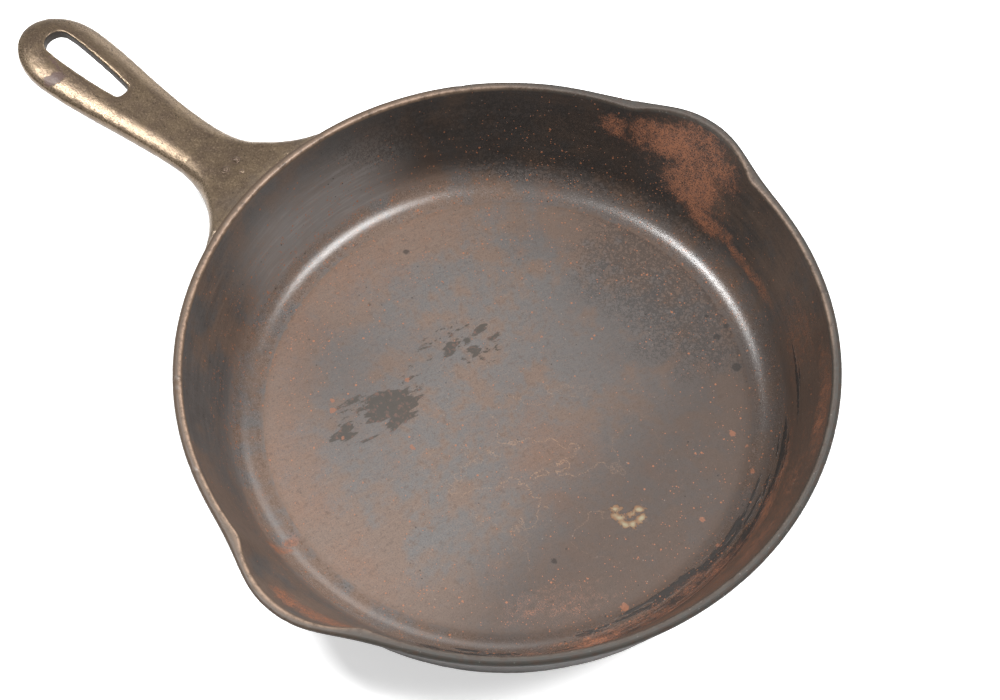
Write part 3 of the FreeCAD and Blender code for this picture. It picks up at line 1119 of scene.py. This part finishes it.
# The rim's bright inner edge colour: partly wear, partly a painted highlight.
RIM_EDGE_WEAR_AND_HIGHLIGHT = (0.40, 0.27, 0.19)
BRONZE = (0.135, 0.096, 0.060)
BROWN_BRONZE = (0.095, 0.066, 0.045)
WORN_BRONZE = (0.26, 0.195, 0.13)
DARK_BRONZE = (0.030, 0.022, 0.016)
SCAR_RED = (0.055, 0.026, 0.020)
OUTSIDE_BLACK = (0.022, 0.019, 0.017)
OUTSIDE_BROWN = (0.048, 0.033, 0.025)
OUTSIDE_GREY = (0.048, 0.043, 0.039)


def rim_layer(s, colour, roughness, grain):
    """The rim's own finish over the surface beside it: bronze towards the handle, and
    dark worn iron with a few pale flecks on the far side."""
    flecks = s.spots(1.1, 0.30, 0.22)
    worn = s.mix(s.step(0.30, 0.62, grain), DARK_BROWN, WORN_IRON)
    worn = s.cover(worn, PALE_FLECK, flecks, 0.4)
    rim_colour = s.mix(s.field("bronze"), worn, RIM_BRONZE)
    # The bright line at the rim's inner edge: partly wear, partly a painted highlight.
    bright = s.times(s.field("edge"), s.step(0.25, 0.60, grain))
    rim_colour = s.mix(bright, rim_colour, RIM_EDGE_WEAR_AND_HIGHLIGHT)
    share = s.ragged(s.field("rim"), grain, 0.6, 0.3, 0.7)
    rim_roughness = s.blend(s.field("bronze"), 0.58, 0.40)
    return s.mix(share, colour, rim_colour), s.blend(share, roughness, rim_roughness)


def seasoned_iron(s, middling, fine, wiped, bands):
    """The seasoned iron under the marks: brown and grey clouds, the grey partly a painted sheen;
    stains; blackening deepened on the far wall by painted shade; painted shade; a painted sheen by
    the handle.
    """
    cloud = s.noise(9, 5.0, roughness=0.7)
    patchy = s.noise(13, 6.0, roughness=0.75)
    # The grey share: partly random tone, partly a painted sheen.
    tone = s.add(s.field("grey_tone_and_sheen"), s.wander(cloud, 1.5), s.wander(middling, 1.0))
    stain = s.add(s.field("warm"), s.wander(patchy, 1.3), s.wander(fine, 0.8))
    # Painted shade, broken up by noise.
    shade = s.add(s.field("shade"), s.wander(middling, 0.35))
    # Blackening of the wall: its own black seasoning, deepened on the far side by painted shade.
    sooty = s.add(s.field("soot_and_shade"), s.wander(bands, 0.4), s.wander(middling, 0.6))
    # The painted sheen's colour, streaked round the wall.
    sheen_colour = s.mix(s.step(0.48, 0.66, bands), SHEEN_IRON, BRIGHT_SHEEN_IRON)

    colour = s.mix(s.step(0.15, 0.85, tone), BROWN_SEASONING, GREY_SEASONING_AND_SHEEN)
    for over, mask, share in (
        (STAINED, s.step(0.28, 0.90, stain), 0.78),
        (PALE_SEASONING, s.step(0.52, 0.74, wiped), 0.26),
        (DARK_BROWN, s.step(0.47, 0.30, wiped), 0.24),
        (DARK_BROWN, s.step(0.48, 0.34, middling), 0.34),
        (DARK_BROWN, s.step(0.50, 0.28, fine), 0.55),
        (PALE_SEASONING, s.step(0.54, 0.74, fine), 0.32),
        # Painted shade.
        (DARK_BROWN, s.step(-0.1, 1.15, shade), 0.74),
        # The wall's own black, deepened on the far side by painted shade.
        (SOOT, s.step(-0.1, 1.1, sooty), 0.80),
        # The painted sheen beside the handle.
        (sheen_colour, s.field("painted_sheen"), 0.82),
    ):
        colour = s.cover(colour, over, mask, share)
    return colour


def dark_network(s, middling, fine):
    """Fine dark lines that join up, wider where the seasoning is more mottled."""
    ridged = s.math("ABSOLUTE", s.math("SUBTRACT", middling, 0.5))
    line_width = s.add(s.times(s.field("mottle"), 0.075), s.wander(fine, 0.08))
    return s.step(0.0, 0.03, s.math("SUBTRACT", line_width, ridged))


def fine_scratches(s, fine):
    crack = s.math("ABSOLUTE", s.math("SUBTRACT", s.noise(22, 3.0), 0.5))
    line = s.times(s.step(0.012, 0.003, crack), s.field("scuffed"))
    return s.times(line, s.step(0.44, 0.60, fine))


def orange_specks(s, fine):
    clustered = s.times(s.field("specks"), s.step(0.38, 0.62, s.noise(5, 3.0)))
    large = s.spots(1.5, 0.36, s.times(clustered, 0.30))
    small = s.spots(0.9, 0.22, s.times(clustered, 0.45))
    return s.ragged(s.most(large, small), fine, 1.2, 0.35, 0.75)


def cooking_surface():
    """The inside: seasoned iron with the marks of use over it."""
    s = Shader("cooking_surface")
    middling = s.noise(2.2, 5.0, roughness=0.7)
    fine = s.noise(0.5, 3.0, roughness=0.7)
    mixed = s.blend(0.5, middling, fine)
    wiped = s.noise(0.8, 4.0, s.wiped(5.0), roughness=0.7)
    smudged = s.noise(1.6, 4.0, s.wiped(1.8), roughness=0.7)
    circles = s.circles(0.9, 0.02)
    bands = s.circles(1.1, 0.10)
    carbon = s.ragged(s.field("carbon"), s.blend(0.5, bands, middling), 1.3, 0.42, 0.60)
    rust = s.ragged(s.field("rust"), s.blend(0.55, middling, fine), 2.4, 0.12, 1.15)
    burnt = s.ragged(s.field("burnt"), s.blend(0.6, middling, wiped), 6.0, -0.1, 0.7)
    flecks = s.ragged(s.field("flecked"), smudged, 4.0, 1.30, 1.42)
    drops = s.ragged(s.field("drops"), mixed, 3.2, -0.1, 0.6)
    beads = s.ragged(s.field("beads"), middling, 3.0, 0.0, 0.3)
    residue = s.ragged(s.field("residue"), middling, 5.0, -0.5, 0.2)
    orange = orange_specks(s, fine)
    dark = s.spots(2.3, 0.28, s.times(s.field("specks"), 0.2))

    rusty = s.mix(s.step(0.36, 0.60, mixed), BROWN_RUST, ORANGE_RUST)
    rusty = s.cover(rusty, SOOT, s.step(0.49, 0.38, fine), 0.6)
    scorched = s.cover(DULL_OLIVE, BROWN_RUST, s.step(0.52, 0.64, middling), 0.65)
    dried = s.mix(s.step(0.0, 1.2, s.field("residue")), DRIED_EDGE, DRIED_FOOD)
    colour = seasoned_iron(s, middling, fine, wiped, bands)
    for over, mask, share in (
        (SOOT, dark_network(s, middling, fine), 0.55),
        (FINE_SCRATCH, fine_scratches(s, fine), 0.42),
        (SOOT, carbon, 0.92),
        (ORANGE_RUST, orange, 0.85),
        (PALE_SEASONING, s.spots(1.9, 0.22, 0.14), 0.6),
        (SOOT, dark, 0.7),
        (rusty, rust, 0.84),
        (scorched, s.most(burnt, flecks), 0.86),
        (SOOT, drops, 0.66),
        (s.mix(fine, BROWN_RUST, ORANGE_RUST), beads, 0.80),
        (dried, residue, 0.7),
    ):
        colour = s.cover(colour, over, mask, share)

    roughness = s.add(0.34, s.times(fine, 0.12), s.times(middling, 0.10))
    polished = s.add(0.13, s.times(fine, 0.16), s.times(middling, 0.10))
    roughness = s.blend(s.field("polish"), roughness, polished)
    roughness = s.blend(s.most(rust, burnt), roughness, 0.60)
    roughness = s.blend(s.most(carbon, residue), roughness, 0.72)
    roughness = s.blend(drops, roughness, 0.80)
    colour, roughness = rim_layer(s, colour, roughness, middling)
    height = s.add(
        s.times(fine, 0.030),
        s.times(middling, 0.035),
        s.times(wiped, 0.006),
        s.times(circles, 0.006),
        s.times(s.times(middling, carbon), 0.35),
        s.times(s.times(fine, rust), 0.08),
        s.times(burnt, -0.02),
        s.times(orange, 0.03),
        s.times(s.times(middling, residue), 0.25),
        s.times(dark, -0.05),
    )
    return s.done(colour, roughness, height, specular=0.46)


def cast_outside():
    """The outside and the underside, as cast: rougher, sooty, with brown showing through."""
    s = Shader("cast_outside")
    cloud = s.noise(16, 6.0, roughness=0.7)
    sand = s.noise(0.9, 3.0, roughness=0.6)
    lumps = s.noise(3.0, 3.0)
    rust = s.step(0.60, 0.72, s.add(s.times(lumps, 0.6), s.times(cloud, 0.45)))
    pits = s.spots(3.1, 0.42, 0.45)
    colour = s.mix(s.step(0.36, 0.80, cloud), OUTSIDE_BLACK, OUTSIDE_BROWN)
    colour = s.mix(s.step(0.50, 0.80, sand), colour, OUTSIDE_GREY)
    colour = s.cover(colour, BROWN_RUST, rust, 0.5)
    colour = s.cover(colour, SOOT, pits, 0.7)
    roughness = s.add(0.50, s.times(sand, 0.2), s.times(rust, 0.15))
    colour, roughness = rim_layer(s, colour, roughness, lumps)
    height = s.add(
        s.times(sand, 0.09),
        s.times(lumps, 0.08),
        s.times(pits, -0.15),
        s.times(rust, 0.03),
    )
    return s.done(colour, roughness, height, specular=0.2)


def handle_iron():
    """The handle's bronze-brown iron, worn bright on its shoulders, with painted shade in its
    hollows, underneath, in its slot and next to the wall.
    """
    s = Shader("handle_iron")
    cloud = s.noise(9, 5.0, roughness=0.7)
    sand = s.noise(0.7, 3.0, roughness=0.7)
    fine = s.noise(0.3, 2.0)
    wear = s.field("wear")
    # Painted shade in the hollows, underneath, in the slot and next to the wall.
    painted_handle_shade = s.step(0.30, 0.95, s.add(s.field("painted_handle_shade"), s.times(cloud, 0.25)))
    pits = s.spots(1.5, 0.24, 0.32)
    scar = s.ragged(s.field("scar"), sand, 3.0, -0.1, 0.45)
    colour = s.mix(s.step(0.35, 0.65, cloud), BRONZE, BROWN_BRONZE)
    for over, mask, share in (
        (WORN_BRONZE, s.step(0.5, 0.75, sand), 0.6),
        (WORN_BRONZE, wear, 0.35),
        (DARK_BRONZE, s.step(0.46, 0.26, sand), 0.7),
        (DARK_BRONZE, painted_handle_shade, 1.0),
        (SOOT, pits, 0.75),
        (SCAR_RED, scar, 0.85),
    ):
        colour = s.cover(colour, over, mask, share)
    roughness = s.add(
        0.25,
        s.times(sand, 0.20),
        s.times(scar, 0.1),
        s.times(painted_handle_shade, 0.35),
        s.times(wear, -0.08),
    )
    height = s.add(
        s.times(sand, 0.090),
        s.times(fine, 0.025),
        s.times(pits, -0.08),
        s.times(scar, -0.06),
    )
    metallic = s.blend(s.most(painted_handle_shade, scar), 0.62, 0.1)
    return s.done(colour, roughness, height, metallic=metallic, specular=0.4)


def studio_paper():
    s = Shader("studio_paper")
    tone = s.noise(60, 2.0)
    colour = s.mix(tone, (0.86, 0.86, 0.86), (0.90, 0.90, 0.90))
    s.put(s.surface.inputs["Emission Color"], (1.0, 1.0, 1.0))
    s.put(s.surface.inputs["Emission Strength"], PAPER_GLOW)
    return s.done(colour, 0.9, s.times(tone, 0.01), specular=0.1)


# ---------------------------------------------------------------- the pan's pieces


def end_cap(pan, column):
    """The wall's cut face at a column, for the piece that starts there."""
    loop = pan.wall_index[:, column]
    angle = math.radians(column * 360 / COLUMNS)
    here = pan.points[loop]
    flat = np.c_[here[:, 0] * math.cos(angle) + here[:, 1] * math.sin(angle), here[:, 2]]
    triangles = np.array(geometry.tessellate_polygon([[Vector((r, z, 0)) for r, z in flat]]))
    corners = flat[triangles]
    first = corners[:, 1] - corners[:, 0]
    second = corners[:, 2] - corners[:, 0]
    backwards = first[:, 0] * second[:, 1] - first[:, 1] * second[:, 0] < 0
    triangles[backwards] = triangles[backwards][:, ::-1]
    return loop[triangles]


def build_sector(pan, node, first, last, materials):
    """A sector of the wall between two columns, closed at both ends and at the floor."""
    columns = np.arange(first, last) % COLUMNS
    following = (columns + 1) % COLUMNS
    index = pan.wall_index
    skin = pan.wall[:, columns].reshape(-1, 4)
    top, foot = index[0], index[-1]
    edge = (top[columns], top[following], foot[following], foot[columns])
    floor_side = np.stack(edge, axis=-1)
    caps = np.vstack([end_cap(pan, first % COLUMNS), end_cap(pan, last % COLUMNS)[:, ::-1]])
    outside = np.repeat(ROW_REACH[:-1] > RIM_REACH, len(columns))
    slots = np.concatenate([outside, np.ones(len(floor_side) + len(caps))])
    quads = np.vstack([skin, floor_side])
    make_piece("cast_" + node, node, pan, quads, caps, materials, slots)


def build_floor(pan, materials):
    index = pan.wall_index
    top, foot = index[0], index[-1]
    edge = np.stack([top, foot, np.roll(foot, -1), np.roll(top, -1)], axis=-1)
    quads = np.vstack([pan.floor, pan.under, edge])
    slots = np.concatenate([
        np.zeros(len(pan.floor)),
        np.ones(len(pan.under) + len(edge) + len(pan.hub)),
    ])
    make_piece("cast_pan_floor", "pan_floor", pan, quads, pan.hub,
               materials, slots)


def build_pan_pieces(materials):
    pan = build_pan()
    skin = np.vstack([pan.floor, pan.wall.reshape(-1, 4), pan.under])
    normals = vertex_normals(pan.points, skin, pan.hub)
    pan.fields = pan_fields(pan.points, pan.reach)
    relief = pan_relief(pan.points, pan.reach, pan.fields)
    pan.points = pan.points + normals * relief[:, None]
    pan.normals = vertex_normals(pan.points, skin, pan.hub)
    per_degree = COLUMNS // 360
    span = LIP_HALF_SPAN
    for node, start, stop in (
        ("side_wall_handle_side", -90 + span, 90 - span),
        ("pour_lip_left", 90 - span, 90 + span),
        ("side_wall_far_side", 90 + span, 270 - span),
        ("pour_lip_right", 270 - span, 270 + span),
    ):
        build_sector(pan, node, start * per_degree, stop * per_degree, materials)
    build_floor(pan, materials)


# ---------------------------------------------------------------- studio


def studio_axes():
    """The camera's right and far directions along the floor."""
    far = Vector((-math.cos(CAMERA_AZIMUTH), -math.sin(CAMERA_AZIMUTH), 0))
    return far.cross(Vector((0, 0, 1))), far


def studio_direction(right_share, far_share, up_share):
    right, far = studio_axes()
    return (right * right_share + far * far_share + Vector((0, 0, up_share))).normalized()


def rotated(a, b, angle):
    """Two axes, both turned by an angle in their own plane."""
    cos, sin = math.cos(angle), math.sin(angle)
    return a * cos - b * sin, a * sin + b * cos


def make_camera():
    right, far = studio_axes()
    back = -far * math.cos(CAMERA_ELEVATION) + Vector((0, 0, math.sin(CAMERA_ELEVATION)))
    forward = -back
    up = right.cross(forward)
    x_axis, forward = rotated(right, forward, PAN)
    y_axis, forward = rotated(up, forward, TILT)
    x_axis, y_axis = rotated(x_axis, y_axis, ROLL)
    turn = Matrix((x_axis, y_axis, -forward)).transposed().to_4x4()
    camera = add_object("camera", bpy.data.cameras.new("camera"))
    place = Vector(LOOK_AT) * MM + back * CAMERA_DISTANCE * MM
    camera.matrix_world = Matrix.Translation(place) @ turn
    camera.data.lens = CAMERA_LENS
    camera.data.sensor_width = 36.0
    camera.data.clip_start = 0.01
    camera.data.clip_end = 20.0
    bpy.context.scene.camera = camera


def softbox(name, direction, distance, length, width, turn, power):
    """An area light that faces the origin from a direction, in metres, degrees and watts."""
    light = bpy.data.lights.new(name, "AREA")
    light.shape = "RECTANGLE"
    light.size = length
    light.size_y = width
    light.energy = power
    ob = add_object(name, light)
    ob.location = direction * distance
    ob.rotation_mode = "QUATERNION"
    spin = Quaternion((0, 0, 1), math.radians(turn))
    ob.rotation_quaternion = direction.to_track_quat("Z", "Y") @ spin


def make_lights():
    right = studio_direction(0.48, -0.10, 0.87)
    left = studio_direction(-0.46, 0.12, 0.88)
    far = studio_direction(0.35, 0.85, 0.42)
    softbox("softbox_right", right, distance=1.4, length=0.60, width=0.34, turn=-40, power=21.5)
    softbox("softbox_left", left, distance=1.4, length=0.36, width=0.30, turn=47, power=20)
    softbox("far_panel", far, distance=1.8, length=1.6, width=0.7, turn=0, power=11)


def make_world():
    """Soft light from all round, weaker from the camera's side of the studio."""
    world = bpy.data.worlds.new("studio")
    bpy.context.scene.world = world
    world.use_nodes = True
    nodes, links = world.node_tree.nodes, world.node_tree.links
    facing = nodes.new("ShaderNodeVectorMath")
    facing.operation = "DOT_PRODUCT"
    links.new(nodes.new("ShaderNodeTexCoord").outputs["Generated"], facing.inputs[0])
    facing.inputs[1].default_value = studio_direction(0.0, 1.0, 0.0)
    strength = nodes.new("ShaderNodeMapRange")
    links.new(facing.outputs["Value"], strength.inputs["Value"])
    for socket, value in (
        ("From Min", -0.8),
        ("From Max", 0.8),
        ("To Min", WORLD_NEAR),
        ("To Max", WORLD_FAR),
    ):
        strength.inputs[socket].default_value = value
    background = nodes["Background"]
    background.inputs["Color"].default_value = (0.96, 0.98, 1.0, 1.0)
    links.new(strength.outputs["Result"], background.inputs["Strength"])
    bpy.context.scene.view_settings.view_transform = "Standard"


def make_stage():
    corners = [(STAGE_HALF * x, STAGE_HALF * y, 0) for x, y in ((-1, -1), (1, -1), (1, 1), (-1, 1))]
    mesh = bpy.data.meshes.new("studio_floor")
    mesh.from_pydata(corners, [], [(0, 1, 2, 3)])
    mesh.materials.append(studio_paper())
    stage = add_object("studio_floor", mesh)


inside_material = cooking_surface()
outside_material = cast_outside()
handle_material = handle_iron()
build_pan_pieces([inside_material, outside_material])
build_ring(outside_material)
build_handle(handle_material)
build_pips(handle_material)
make_camera()
make_lights()
make_world()
make_stage()
